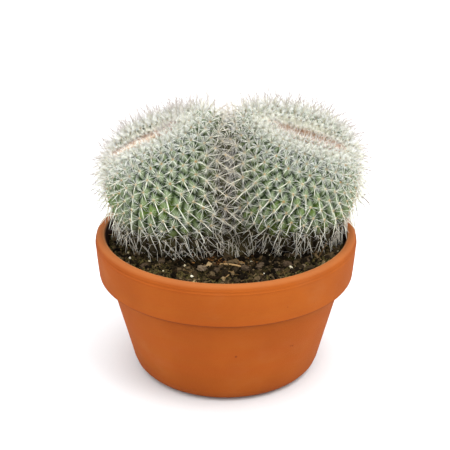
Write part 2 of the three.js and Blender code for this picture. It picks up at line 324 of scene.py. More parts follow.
class Shader:
    """A material on one Principled surface."""

    def __init__(self, name, fixed):
        self.material = bpy.data.materials.new(name)
        self.material.use_nodes = True
        self.tree = self.material.node_tree
        self.surface = self.tree.nodes["Principled BSDF"]
        self.feed(self.surface, fixed)
        self.place = self.add("TexCoord", {}, {}, "Object")

    def add(self, kind, settings, sockets, output=0):
        """Adds a node of a kind. Its settings are set first, then its sockets get values or wires."""
        node = self.tree.nodes.new("ShaderNode" + kind)
        for setting, value in settings.items():
            setattr(node, setting, value)
        self.feed(node, sockets)
        return Wire(self, node.outputs[output])

    def feed(self, node, sockets):
        for name, value in sockets.items():
            if isinstance(value, Wire):
                self.tree.links.new(value.socket, node.inputs[name])
            else:
                node.inputs[name].default_value = value

    def noise(self, size, detail=2.0, stretch=(1, 1, 1)):
        """Noise whose lumps are about as wide as size, stretched by the given amounts."""
        scale = [1 / (size * amount) for amount in stretch]
        where = self.add("VectorMath", {"operation": "MULTIPLY"}, {0: self.place, 1: scale})
        return self.add("TexNoise", {}, {"Vector": where, "Scale": 1.0, "Detail": detail})

    def upward(self):
        return self.add("SeparateXYZ", {}, {0: self.place}, "Z")

    def outward(self):
        """The distance from the pot's axis."""
        flat = self.add("VectorMath", {"operation": "MULTIPLY"}, {0: self.place, 1: (1, 1, 0)})
        return self.add("VectorMath", {"operation": "LENGTH"}, {0: flat}, "Value")

    def mark(self, name):
        return self.add("Attribute", {"attribute_name": name}, {}, "Fac")

    def mix(self, share, first, second):
        """A colour between two others. Codes and wires both do."""
        first, second = (colour(c) if isinstance(c, str) else c for c in (first, second))
        return self.add("Mix", {"data_type": "RGBA"}, {0: share, 6: first, 7: second}, 2)

    def finish(self, base, roughness, height=None, relief=0.0):
        """Wires the colour, the roughness and a relief of the given height in metres to the surface."""
        self.feed(self.surface, {"Base Color": base, "Roughness": roughness})
        if height is not None:
            bump = self.add("Bump", {}, {"Height": height, "Distance": relief, "Strength": 1.0})
            self.feed(self.surface, {"Normal": bump})
        return self.material


# Small chips and pits in the front of the pot, as a place and a radius
CHIPS = [((0.0415, -0.0612, 0.0425), 0.001), ((0.0428, -0.0603, 0.0418), 0.0012),
         ((0.0442, -0.0594, 0.0412), 0.001), ((0.0065, -0.0741, 0.041), 0.0013),
         ((0.0479, -0.0541, 0.03), 0.0011), ((0.0395, -0.0805, 0.081), 0.0009)]


def terracotta():
    """Fired clay with cloudy tones, turning marks, dark grit, a little pale bloom and a few chips, plus a
    painted highlight on the edge inside the lip, painted shade on the lip's top, in the crease under the
    band and towards the foot, and painted shade with some soil dirt on the inner wall."""
    clay = Shader("terracotta", {"Specular IOR Level": 0.15})
    firing = clay.noise(0.035, 3)
    turning = clay.noise(0.0016, 2, (30, 30, 1))
    bands = clay.noise(0.012, 2, (25, 25, 1))
    grain = clay.noise(0.0006, 3)
    grit = clay.noise(0.0018, 1).ramp(0.8, 0.86)
    bloom = clay.noise(0.028, 5, (1, 1, 0.7)).ramp(0.5, 0.85)
    up = clay.upward()
    out = clay.outward()
    # painted shade: crease marks a dark band at the crease under the band, where shade falls
    crease = up.ramp(CREASE - 0.0065, CREASE) - up.ramp(CREASE + 0.0005, CREASE + 0.0015)
    # inner marks the inner wall above the crease, painted nearly black: painted shade with some soil dirt
    inner = up.ramp(CREASE + 0.001, CREASE + 0.002) * (1 - out.ramp(INNER_RIM + 0.0001, INNER_RIM + 0.001))
    # edge marks the top of the lip's inner edge, which gets a painted highlight
    edge = up.ramp(HEIGHT - 0.002, HEIGHT - 0.0008) * out.ramp(INNER_RIM + 0.0022, INNER_RIM + 0.0008)
    base = clay.mix(firing.ramp(0.3, 0.7), "914409", "9b4c0e")
    base = clay.mix(bands.ramp(0.35, 0.7) * 0.3, base, "9a3c06")
    base = clay.mix(grain * 0.25, base, "a65f28")
    base = clay.mix(bloom * 0.1, base, "ab7b52")
    # painted shade: the lip's top is darkened against the strong light from above
    base = clay.mix(up.ramp(HEIGHT - 0.003, HEIGHT) * 0.35, base, "83603c")
    # painted shade: darker and redder towards the foot
    base = clay.mix(up.ramp(0.03, 0) * 0.2, base, "7d3208")
    # painted shade in the crease under the band
    base = clay.mix(crease * 0.7, base, "5a2206")
    # painted shade with some soil dirt on the inner wall
    base = clay.mix(inner * (0.85 + grain * 0.15), base, "1c0e08")
    # painted highlight along the lip's inner edge
    base = clay.mix(edge * grain * 0.6, base, "cf935f")
    base = clay.mix(grit * 0.4, base, "552410")
    for place, radius in CHIPS:
        far = clay.add("VectorMath", {"operation": "DISTANCE"}, {0: clay.place, 1: place}, "Value")
        base = clay.mix((far + grain * radius).ramp(1.5 * radius, 0.8 * radius) * 0.6, base, "5a2008")
    roughness = 0.75 + grain * 0.2
    return clay.finish(base, roughness, grain + turning * 0.8 - grit * 0.5, 0.00018)


def potting_mix():
    soil = Shader("potting_mix", {"Specular IOR Level": 0.05})
    clumps = soil.noise(0.006, 4)
    crumbs = soil.noise(0.0012, 4)
    moss = soil.noise(0.009, 2).ramp(0.58, 0.75)
    base = soil.mix(clumps.ramp(0.4, 0.7), "080502", "281f0f")
    base = soil.mix(crumbs.ramp(0.58, 0.78), base, "48391a")
    base = soil.mix(moss * 0.45, base, "363b10")
    # painted light: paler crumbs towards the wall, lifting the shade that the heads cast on the soil
    base = soil.mix(soil.outward().ramp(0.05, 0.068) * crumbs.ramp(0.4, 0.6) * 0.5, base, "6a5f38")
    return soil.finish(base, 0.95, crumbs + clumps, 0.0015)


def crumb_finish(name, dark, light, size):
    """Bark, grit and grains: each piece gets its own tone between two, with a fine grain."""
    crumb = Shader(name, {"Specular IOR Level": 0.06})
    tone = crumb.mark("tone")
    grain = crumb.noise(size, 3, (1, 1, 0.5))
    base = crumb.mix(tone ** 3, dark, light)
    base = crumb.mix(grain.ramp(0.35, 0.75) * 0.5, base, dark)
    return crumb.finish(base, 0.9, grain, size * 0.5)


def cactus_skin():
    """Grey-green tubercles with painted shade in their gaps, woolly at the growing line, and dark brown in
    the fork and at the base, where old corky skin and painted shade are mixed.
    """
    skin = Shader("cactus_skin", {"Specular IOR Level": 0.15})
    height = skin.mark("height")
    old = skin.mark("old")
    young = skin.mark("young")
    low = skin.upward().ramp(0.155, 0.13)
    tone = skin.noise(0.014, 3)
    freckles = skin.noise(0.0007, 2)
    # painted shade: the skin darkens from the tubercles' tips down into the gaps between them
    base = skin.mix(height.ramp(0.04, 0.7), "1e3014", "7a8866")
    base = skin.mix(tone.ramp(0.48, 0.66) * (0.2 + low * 0.5), base, "5f7a1e")
    base = skin.mix(freckles.ramp(0.55, 0.75) * 0.3, base, "aab39c")
    base = skin.mix(young.ramp(0.2, 0.7) * 0.8, base, "d9d7c9")
    base = skin.mix(young.ramp(0.82, 1.0) * 0.85, base, "b0845c")
    # dark brown in the fork and at the base: old corky skin, with painted shade where the heads meet and at
    # the foot
    base = skin.mix(old * 0.96, base, "3e301f")
    return skin.finish(base, 0.55 + freckles * 0.2 + old * 0.2, freckles, 0.00008)


def areole_wool():
    wool = Shader("areole_wool", {"Specular IOR Level": 0.1})
    tufts = wool.noise(0.0004, 3)
    stain = wool.mark("stain")
    base = wool.mix(tufts.ramp(0.3, 0.7), "cfc29d", "ebe4cd")
    base = wool.mix(stain, base, "ae8846")
    return wool.finish(base, 0.95, tufts, 0.0004)


def spine_finish(name, foot, body, tip, aged):
    """Spines run from a coloured foot through their body colour to their tip, and turn tan with age."""
    spine = Shader(name, {"Specular IOR Level": 0.4, "Subsurface Weight": 0.7, "Subsurface Scale": 0.001,
                          "Subsurface Radius": (1, 0.9, 0.8)})
    along = spine.mark("along")
    speck = spine.noise(0.0009, 2)
    young = spine.mark("young")
    base = spine.mix(along.ramp(0.05, 0.24), foot, body)
    # the tip colour grows with the young mark: on young crown centrals, and as painted shade on spines
    # turned away from the front and at the plant's sides
    base = spine.mix((along + young * 0.45).ramp(0.6, 0.98) * (0.35 + young * 0.65), base, tip)
    base = spine.mix(spine.mark("tone") * 0.25, base, "cfc9bc")
    base = spine.mix(spine.mark("old"), base, aged)
    base = spine.mix(speck.ramp(0.6, 0.8) * 0.15, base, "b5a28c")
    return spine.finish(base, 0.45 + speck * 0.2, speck, 0.00005)


def studio_floor():
    paper = Shader("studio_floor", {"Specular IOR Level": 0.0})
    fibre = paper.noise(0.002, 2)
    return paper.finish(paper.mix(fibre, "cfcfcf", "d2d2d2"), 0.95, fibre, 0.00005)


# The pot

def make_pot():
    corners = [
        (0.009, WALL_FOOT, 0.001),
        (0.009, 0, 0.001),
        (RIM - 0.026, 0, 0.0095),
        (RIM - 0.0163, 0.39 * HEIGHT, 0.02),
        (RIM - 0.0082, CREASE, 0.0012),
        (RIM - 0.0018, CREASE, 0.0017),
        (RIM, 0.9 * HEIGHT, 0.006),
        (RIM, 0.95 * HEIGHT, 0.0018),
        (RIM - 0.0003, 0.96 * HEIGHT, 0.0018),
        (RIM - 0.0006, HEIGHT, 0.003),
        (INNER_RIM, HEIGHT, 0.0024),
        (RIM - 0.0128, 0.66 * HEIGHT, 0.004),
        (RIM - 0.0295, 0.15 * HEIGHT, 0.003),
        (RIM - 0.0325, WALL_FOOT, 0.002),
    ]
    profile = rounded(corners)
    pot = spun("pot_body", profile + profile[:1], 224)
    bpy.ops.object.shade_smooth_by_angle(angle=radians(50))
    return finished(pot, terracotta(), "pot")


# The soil

def soil_height(points):
    flat = np.column_stack([points[:, 0], points[:, 1], np.zeros(len(points))])
    lumps = 0.0026 * noise_at(flat, 0.011) + 0.0024 * noise_at(flat, 0.0045, 3.1)
    crumbs = 0.0015 * noise_at(flat, 0.0022, 7.7) + 0.0006 * noise_at(flat, 0.001, 9.3)
    return SOIL_LEVEL + lumps + crumbs


def make_soil():
    wall = [(0, WALL_FOOT + 0.0003), (RIM - 0.0395, WALL_FOOT + 0.0003), (RIM - 0.0307, 0.15 * HEIGHT),
            (RIM - 0.0131, 0.66 * HEIGHT)]
    surface = [(radius, SOIL_LEVEL) for radius in np.linspace(SOIL_RADIUS, 0, 86)]
    soil = spun("soil_bed", wall + surface, 300)
    points = points_of(soil)
    top = points[:, 2] > SOIL_LEVEL - 0.001
    points[top, 2] = soil_height(points[top])
    move_points(soil, points)
    bpy.ops.object.shade_smooth_by_angle(angle=radians(60))
    return finished(soil, potting_mix(), "soil")


def lump(fineness, shift, seed, shape):
    """A lump of about unit size: a ball with its points shifted, then drawn out to a shape."""
    ball = begin("lump", bpy.ops.mesh.primitive_ico_sphere_add, subdivisions=fineness, radius=1)
    edit(lambda: bpy.ops.transform.vertex_random(offset=shift, uniform=0.7, normal=0.3, seed=seed),
         lambda: bpy.ops.transform.resize(value=shape))
    return taken(ball)


def sliver(seed):
    """A flat torn sliver of bark, one unit to each side of its middle."""
    block = begin("sliver", bpy.ops.mesh.primitive_cube_add, size=2)
    edit(lambda: bpy.ops.transform.resize(value=(1, 0.34, 0.14)),
         lambda: bpy.ops.mesh.subdivide(number_cuts=1),
         lambda: bpy.ops.mesh.quads_convert_to_tris(),
         lambda: bpy.ops.transform.vertex_random(offset=0.13, uniform=0.8, seed=seed))
    return taken(block)


def soil_places(count, random, tips):
    """Places on the soil that the plant leaves free."""
    angle = random.uniform(0, tau, 3 * count)
    radius = (SOIL_RADIUS - 0.0015) * np.sqrt(random.uniform(0, 1, 3 * count))
    level = np.full(3 * count, SOIL_LEVEL)
    places = np.column_stack([radius * np.cos(angle), radius * np.sin(angle), level])
    places = places[off_head(places, tips) > 0][:count]
    places[:, 2] = soil_height(places)
    return places


def on_soil(places, lift):
    """Places given as x and y, set on the soil and lifted off it."""
    places = np.asarray(places)
    return np.column_stack([places, soil_height(places) + lift])


def turns(count, steepest, random):
    """Turning matrices: any turn about the vertical after a tip over of up to the steepest angle."""
    turn, way = random.uniform(0, tau, (2, count))
    tip = random.uniform(0, steepest, count)
    cross = np.zeros((count, 3, 3))
    cross[:, 0, 2], cross[:, 1, 2] = np.sin(way), -np.cos(way)
    cross[:, 2, 0], cross[:, 2, 1] = -np.sin(way), np.cos(way)
    sine, cosine = np.sin(tip)[:, None, None], np.cos(tip)[:, None, None]
    tipped = np.eye(3) + sine * cross + (1 - cosine) * cross @ cross
    about = np.zeros((count, 3, 3))
    about[:, 0, 0] = about[:, 1, 1] = np.cos(turn)
    about[:, 1, 0], about[:, 0, 1] = np.sin(turn), -np.sin(turn)
    about[:, 2, 2] = 1
    return tipped @ about


def strewn(name, shapes, places, smallest, largest, steepest, finish, random):
    """Loose bits at places on the soil, each one of a few shapes, turned and sized by chance."""
    kinds = np.arange(len(places)) % len(shapes)
    size = smallest * (largest / smallest) ** random.uniform(0, 1, len(places)) ** 1.5
    turning = turns(len(places), steepest, random)
    tone = random.uniform(0, 1, len(places))
    points = np.concatenate([
        np.einsum("nij,vj->nvi", turning[kinds == k], shape) * size[kinds == k, None, None]
        + places[kinds == k, None] for k, (shape, _) in enumerate(shapes)])
    triangles = shapes[0][1]
    order = np.concatenate([tone[kinds == k] for k in range(len(shapes))])
    bits = merged(name, points, triangles, {"tone": order[:, None]})
    bits.data.polygons.foreach_set("use_smooth", np.zeros(len(bits.data.polygons), bool))
    return finished(bits, finish, "soil")


# Pale grains that stand out on the soil, as x and y
PALE_GRAINS = [(-0.051, -0.037), (-0.041, -0.052), (-0.035, -0.036), (0.028, -0.033), (0.043, -0.048),
               (0.025, -0.054), (-0.066, -0.025), (0.029, -0.026), (0.05, 0.056), (-0.03, 0.062)]
# Large clods that stand out, as x and y
LARGE_CLODS = [(-0.016, -0.051), (-0.054, -0.047), (0.0286, -0.0369), (0.0328, -0.0489), (0.041, -0.043),
               (0.0124, -0.052), (0.053, -0.037), (0.0225, -0.046), (0.0505, -0.0445), (0.048, 0.06),
               (-0.045, 0.058)]
# The middle of a patch of rusty crumbs at the foot of the plant, and its spread
RUSTY_PATCH = (0.005, -0.037)
PATCH_SPREAD = (0.012, 0.004)


def make_soil_bits(tips):
    """Peat, stone, bark and pale grains on the soil, some at set places and the rest by chance."""
    random = np.random.default_rng(12)
    clods = [lump(2, 0.42, seed, (1, 0.8, 0.65)) for seed in range(5)]
    crumbs = [lump(1, 0.5, seed, (1, 0.85, 0.7)) for seed in range(4)]
    grains = [lump(2, 0.25, seed, (1, 0.85, 0.8)) for seed in range(3)]
    slivers = [sliver(seed) for seed in range(5)]
    peat = crumb_finish("peat", "0e0904", "6e5c42", 0.001)
    strewn("peat_clods", clods, soil_places(620, random, tips), 0.001, 0.003, 1.2, peat, random)
    strewn("peat_crumbs", crumbs, soil_places(3600, random, tips), 0.0004, 0.0012, 1.5, peat, random)
    stone = crumb_finish("stone", "46392c", "85745e", 0.0009)
    strewn("grey_lumps", clods, soil_places(45, random, tips), 0.0008, 0.0022, 1.0, stone, random)
    broken = [lump(3, 0.24, seed, (1, 0.75, 0.6)) for seed in range(4)]
    strewn("large_clods", broken, on_soil(LARGE_CLODS, 0.0006), 0.0028, 0.0042, 0.6, stone, random)
    strewn("bark_slivers", slivers, soil_places(320, random, tips), 0.001, 0.004, 0.9,
           crumb_finish("bark", "1c1207", "9c8460", 0.0008), random)
    patch = on_soil(random.normal(RUSTY_PATCH, PATCH_SPREAD, (70, 2)), random.uniform(0, 0.002, 70))
    strewn("rusty_crumbs", slivers, patch, 0.0005, 0.0013, 0.9,
           crumb_finish("rusty_bark", "4b2f18", "a8763f", 0.0008), random)
    pale = np.concatenate([on_soil(PALE_GRAINS, 0.0008), soil_places(40, random, tips)])
    strewn("pale_grains", grains, pale, 0.0006, 0.0012, 1.0,
           crumb_finish("pale_grains", "b9ad8c", "f4eedc", 0.0005), random)
    make_litter(tips, random)


# Single bits that stand out: for each its ends as x, y and height over the soil, its bow to one side as a
# share of its length, and its half width
STRIPS = [
    ((-0.004, -0.0435, 0.0015), (0.013, -0.051, 0.0012), 0.1, 0.0009),
    ((-0.001, -0.062, 0.0008), (0.009, -0.048, 0.002), 0.03, 0.0004),
    ((0.061, -0.033, 0), (0.0664, -0.04, 0.0168), 0.04, 0.0005),
    ((-0.028, -0.05, 0.001), (-0.018, -0.056, 0.001), -0.1, 0.0004),
    ((0.034, -0.06, 0.001), (0.046, -0.052, 0.001), 0.12, 0.0004),
]


def make_litter(tips, random):
    """Fine roots and straw on the soil, a curved strip of bark, and a straw that leans on the plant."""
    straw = crumb_finish("straw", "3d2c18", "b08f62", 0.0008)
    template = spine_template(5, [0.2, 0.4, 0.6, 0.8])
    count = 170
    places = soil_places(count, random, tips) + np.array([0, 0, 0.0006])
    turn = random.uniform(0, tau, count)
    rise = random.uniform(-0.08, 0.2, count)
    directions = unit(np.column_stack([np.cos(turn), np.sin(turn), rise]))
    bends = unit(np.column_stack([-np.sin(turn), np.cos(turn), 0.5 * rise + 0.2]))
    bends *= random.normal(0, 0.5, count)[:, None]
    marks = dict(tone=random.uniform(0, 1, count))
    fibres = grown("root_fibres", template, places, directions, bends, random.uniform(0.004, 0.011, count),
                   random.uniform(0.00012, 0.00026, count), marks)
    finished(fibres, straw, "soil")

    starts, ends = (np.array([strip[n] for strip in STRIPS]) for n in (0, 1))
    for end in (starts, ends):
        end[:, 2] += soil_height(end)
    lengths = np.linalg.norm(ends - starts, axis=1)
    directions = (ends - starts) / lengths[:, None]
    bows = np.array([strip[2] for strip in STRIPS])[:, None] * 4
    bends = bows * unit(np.column_stack([-directions[:, 1], directions[:, 0], np.zeros(len(STRIPS))]))
    widths = np.array([strip[3] for strip in STRIPS])
    strips = grown("straw_strips", template, starts, directions, bends, lengths, widths,
                   dict(tone=np.linspace(1, 0.4, len(STRIPS))))
    finished(strips, straw, "soil")


# The heads

def skin_point(head, around, down):
    """Points on a head's skin: around goes round the growing line and down goes from it to the base."""
    along, across = np.cos(around), np.sin(around)
    outward, upward = np.sin(down), np.cos(down)
    below = np.maximum(0, -upward)
    on_fork_side = along <= 0
    reach = np.where(on_fork_side, head["inner"], head["outer"])
    fullness = np.where(on_fork_side, blend(FORK_FULLNESS_TOP, FORK_FULLNESS_BASE, below), 1)
    line = head["line"]
    drawn_in = np.where(on_fork_side, 1, 1 - FOOT_OUTER * below)
    p = along * (line + (reach - line) * outward ** fullness) * drawn_in
    q = across * np.where(across > 0, head["back"], head["front"]) * signed_power(outward, SQUARENESS)
    r = np.where(upward > 0, head["top"], head["under"]) * signed_power(upward, SQUARENESS)
    r = r + np.where(p > 0, -head["sag"], INNER_RISE) * p * p / head["outer"]
    r = r - (FOOT_INNER * np.maximum(0, -p) + FOOT_BACK * np.maximum(0, q)) * below
    within = np.maximum(0, 1 - (np.abs(p) / (line + GROOVE_WIDTH)) ** 4)
    groove = GROOVE_DEPTH * np.exp(-((q / GROOVE_WIDTH) ** 2)) * within
    r = r - np.where(upward > 0, groove, 0)

    tilt, lean, turn = head["tilt"], head["lean"], -head["turn"]
    x, z = p * cos(tilt) + r * sin(tilt), r * cos(tilt) - p * sin(tilt)
    y, z = q * cos(lean) - z * sin(lean), q * sin(lean) + z * cos(lean)
    x, y = x * cos(turn) - y * sin(turn), x * sin(turn) + y * cos(turn)
    centre = head["centre"]
    x, y, z = x + centre[0], y + centre[1], z + centre[2]
    room = INNER_RIM - RIM_ROOM + np.maximum(0, z - HEIGHT - 0.001)
    squeeze = np.minimum(1, room / np.hypot(x, y))
    return np.stack([x * head["side"] * squeeze, y * squeeze, z], axis=-1)


def skin_lattice(head, steps):
    """Frames on the skin at each lattice place, with steps places between neighbours. Rings run down from
    the growing line, and a ring's places are evenly spaced, as many behind the line as before it."""
    samples = 180
    angles = np.linspace(0, tau, 2 * samples + 1)
    downs = np.linspace(FIRST_DOWN, LAST_DOWN, samples + 1)
    grid = skin_point(head, angles[:, None], downs[None])
    lengths = np.zeros(grid.shape[:2])
    lengths[:, 1:] = np.cumsum(np.linalg.norm(np.diff(grid, axis=1), axis=2), axis=1)
    ring = np.arange((RINGS - 1) * steps + 1) / steps
    shares = (ring / (RINGS - 1)) ** CROWDING
    ring_downs = np.array([np.interp(shares * line[-1], line, downs) for line in lengths]).T

    half = AROUND * steps
    around = np.empty((len(ring), 2 * half))
    down = np.empty_like(around)
    for n, own_downs in enumerate(ring_downs):
        path = skin_point(head, angles, own_downs)
        reached = np.concatenate([[0], np.cumsum(np.linalg.norm(np.diff(path, axis=0), axis=1))])
        behind = np.linspace(0, reached[samples], half, endpoint=False)
        before = np.linspace(reached[samples], reached[-1], half, endpoint=False)
        wanted = np.concatenate([behind, before])
        around[n] = np.interp(wanted, reached, angles)
        down[n] = np.interp(wanted, reached, own_downs)

    step = 1e-3
    point = skin_point(head, around, down)
    away = unit(skin_point(head, around, down + step) - point)
    across = skin_point(head, around + step, down) - point
    normal = unit(np.cross(away, across)) * head["side"]
    across = np.cross(normal, away) * head["side"]
    return dict(point=point, normal=normal, away=away, across=across, ring=ring,
                place=np.arange(2 * half) / steps)


def relief(ring, place):
    """The height of the tubercles' relief from 0 in the deepest gaps to 1 at a tip."""
    u, v = (place + ring) / 2, (place - ring) / 2
    u, v = u - np.round(u), v - np.round(v)
    along, across = np.abs(u + v), np.abs(u - v)
    diamond = along + across
    circle = np.hypot(along, across)
    return 1 - blend(circle, diamond, diamond) ** 1.4, circle


def closed(rows):
    """Rows that go once round, with the first place again at their end."""
    return np.concatenate([rows, rows[:, :1]], axis=1)


def make_head_skin(head, name):
    """A head's skin: a grid wrapped round the head, sunk between the tubercles, which are lower at the
    crown, and closed at both ends."""
    lattice = skin_lattice(head, SKIN_STEPS)
    rows, columns = lattice["point"].shape[:2]
    ring, place = np.meshgrid(lattice["ring"], lattice["place"], indexing="ij")
    height, circle = relief(ring, place)
    full = np.minimum(1, 0.35 + 0.22 * ring)
    sink = full * (TUBERCLE_DEPTH * (1 - height) + CORNER_DEPTH * circle ** 5)
    points = lattice["point"] - sink[..., None] * lattice["normal"]

    skin = begin(name, bpy.ops.mesh.primitive_grid_add, x_subdivisions=columns, y_subdivisions=rows - 1,
                 size=1)
    move_points(skin, closed(points))
    add_mark(skin.data, "height", closed(height))
    add_mark(skin.data, "young", closed(smooth_step(6, 0, ring)))
    bpy.ops.object.mode_set(mode="EDIT")
    bpy.ops.mesh.select_all(action="SELECT")
    bpy.ops.mesh.remove_doubles(threshold=1e-6)
    bpy.ops.mesh.select_all(action="DESELECT")
    bpy.ops.mesh.select_non_manifold()
    bpy.ops.mesh.edge_face_add()
    bpy.ops.mesh.quads_convert_to_tris(ngon_method="BEAUTY")
    bpy.ops.object.mode_set(mode="OBJECT")
    tidy_shell()
    return skin


def growth_width(head, place, behind):
    """How many rings wide the new growth is at each place round the line: its band in front and a little
    outwards, and less round the ends, down to the given width behind."""
    in_front = np.maximum(0, -np.sin(place * pi / AROUND - BAND_OUTWARD)) ** 0.6
    return blend(behind, head["band"], in_front)


def off_head(points, tips):
    """How far points stand off a head, measured at the nearest tip. Below 0 is inside."""
    far = ((points[:, None] - tips["point"][None]) ** 2).sum(axis=2)
    nearest = far.argmin(axis=1)
    return ((points - tips["point"][nearest]) * tips["normal"][nearest]).sum(axis=1)


def head_tips(head):
    """The frames of a head's areoles, one at each tubercle's tip."""
    lattice = skin_lattice(head, 1)
    ring, place = np.meshgrid(lattice["ring"], lattice["place"], indexing="ij")
    chosen = ((ring + place) % 2 == 0) & (ring > growth_width(head, place, BARE_BEHIND))
    return chosen_frames(lattice, ring, chosen)


def chosen_frames(lattice, ring, chosen):
    frames = {key: lattice[key][chosen] for key in ("point", "normal", "away", "across")}
    return frames | {"ring": ring[chosen]}


def visible_tips(tips, other):
    """The areoles that stand clear of the other head and of the soil."""
    clear = (off_head(tips["point"], other) > -0.0005) & (tips["point"][:, 2] > SOIL_LEVEL + 0.001)
    return {key: values[clear] for key, values in tips.items()}


def near_fork(points, width):
    """1 in the middle of the fork and falling away to both sides of it, over about the given width."""
    return np.exp(-((points[:, 0] / width) ** 2))


def wear_and_shade(points):
    """How old and weathered the plant looks at each point: in the fork and at the base. On the skin the
    same mark also stands for painted shade there.
    """
    height = points[:, 2]
    fork = near_fork(points, 0.013) * smooth_step(0.198, 0.165, height)
    base = smooth_step(0.123, 0.106, height)
    return np.maximum(fork * 0.85, base * 0.95)


# The rows of areoles that show low on the stem in the fork: their heights, how far they spread to each
# side, and how many stand in a row
STEM_ROWS = [0.0945, 0.098, 0.1015]
STEM_SPREAD = radians(50)
STEM_AREOLES = 9


def stem_tips():
    """The frames of the areoles on the stem, at the front and the back of the fork."""
    (low_radius, low_height), (high_radius, high_height) = STEM[3:5]
    slope = (low_radius - high_radius) / (high_height - low_height)
    side = np.linspace(-STEM_SPREAD, STEM_SPREAD, STEM_AREOLES)
    step = side[1] - side[0]
    rows = range(len(STEM_ROWS))
    front_and_back = (pi / 2, -pi / 2)
    turns = np.concatenate([side + row % 2 * step / 2 + way for row in rows for way in front_and_back])
    height = np.repeat(STEM_ROWS, 2 * STEM_AREOLES)
    radius = low_radius - slope * (height - low_height)
    flat = np.column_stack([np.cos(turns), np.sin(turns), np.zeros(len(turns))])
    normal = unit(flat / [STEM_WIDENING, 1, 1] + np.array([0, 0, slope]))
    across = np.cross(normal, [0, 0, 1.0])
    away = unit(np.cross(normal, across))
    point = flat * radius[:, None] * [STEM_WIDENING, 1, 1]
    point[:, 2] = height
    oldest = np.full(len(turns), RINGS - 1.0)
    return dict(point=point, normal=normal, away=away, across=unit(across), ring=oldest)


def make_stem():
    stem = spun("stem", STEM, 48)
    edit(lambda: bpy.ops.transform.resize(value=(STEM_WIDENING, 1, 1)))
    return stem


def make_skin():
    """Both heads and the stem as one skin."""
    skin, right = (make_head_skin(head, name) for head, name in zip(HEADS, ("left_head", "right_head")))
    for part in (right, make_stem()):
        bpy.ops.object.select_all(action="DESELECT")
        bpy.context.view_layer.objects.active = skin
        skin.select_set(True)
        union = skin.modifiers.new("union", "BOOLEAN")
        union.operation = "UNION"
        union.solver = "MANIFOLD"
        union.object = part
        bpy.ops.object.modifier_apply(modifier=union.name)
        bpy.data.objects.remove(part)
    skin.name = "cactus_skin"
    # old darkens the skin in the fork and at the base: old corky skin, with painted shade
    add_mark(skin.data, "old", wear_and_shade(points_of(skin)))
    bpy.ops.object.shade_smooth_by_angle(angle=radians(70))
    return finished(skin, cactus_skin(), "cactus")


# The spines

def spine_template(sides, cuts):
    """A spine of unit length and unit radius, with a point at its end and rings where it may bend."""
    spine = begin("spine", bpy.ops.mesh.primitive_cone_add, vertices=sides, radius1=1, depth=1,
                  location=(0, 0, 0.5))
    bpy.ops.object.transform_apply(location=True)
    for height in cuts:
        edit(lambda: bpy.ops.mesh.bisect(plane_co=(0, 0, height), plane_no=(0, 0, 1)))
    edit(lambda: bpy.ops.mesh.quads_convert_to_tris())
    points = points_of(spine)
    points[:, :2] /= np.maximum(1 - points[:, 2:], 0.01) ** TAPER
    move_points(spine, points)
    return taken(spine)


def grown(name, template, roots, directions, bends, lengths, radii, marks):
    """Copies of a spine. Each runs its length from its root in its direction, and bows by its bend."""
    shape, triangles = template
    along = shape[:, 2]
    side = unit(np.cross(directions, bends + 1e-5))
    front = np.cross(directions, side)
    bow = along * (1 - along)
    points = (
        roots[:, None]
        + directions[:, None] * (lengths[:, None] * along)[..., None]
        + bends[:, None] * (lengths[:, None] * bow)[..., None]
        + side[:, None] * (radii[:, None] * shape[:, 0])[..., None]
        + front[:, None] * (radii[:, None] * shape[:, 1])[..., None]
    )
    return merged(name, points, triangles, {"along": along, **{k: v[:, None] for k, v in marks.items()}})


def within_reach(roots, directions, lengths):
    """Lengths cut short where a spine would reach further than the frame's box allows."""
    low, high = np.array(cad_low), np.array(cad_high)
    spare = (high - low) * BOX_SPARE
    slope = np.where(np.abs(directions) < 1e-6, 1e-6, directions)
    edge = np.where(slope > 0, high + spare, low - spare)
    room = (edge - roots) / slope
    return np.clip(lengths, 0.0005, np.maximum(room.min(axis=1), 0.0005))


def spine_rows(tips, count):
    """A row for each spine, with count of them at each areole."""
    return {key: np.repeat(values, count, axis=0) for key, values in tips.items()}


def directions_of(tips, turn, lift):
    """Directions that leave the areoles at a turn from straight down the head, lifted from its skin."""
    flat = tips["away"] * np.cos(turn)[:, None] + tips["across"] * np.sin(turn)[:, None]
    return flat * np.cos(lift)[:, None] + tips["normal"] * np.sin(lift)[:, None]


def kept(rows, shares, random):
    """The rows that a draw leaves, each with its own chance."""
    chosen = random.uniform(0, 1, len(shares)) < shares
    return {key: values[chosen] for key, values in rows.items()}


def turned_away(rows):
    """1 at the sides, the top and the back, where spines show against the light, and 0 at the front."""
    return smooth_step(-0.4, 0, rows["normal"][:, 1])


def side_on(rows):
    """1 at the plant's two sides."""
    return smooth_step(0.55, 0.9, np.abs(rows["normal"][:, 0]))


def growth(ring, edge):
    """How much of their full length the spines have reached, from the growing line outwards."""
    return blend(0.38, 1, smooth_step(0.5, 5 - 1.5 * edge, ring))


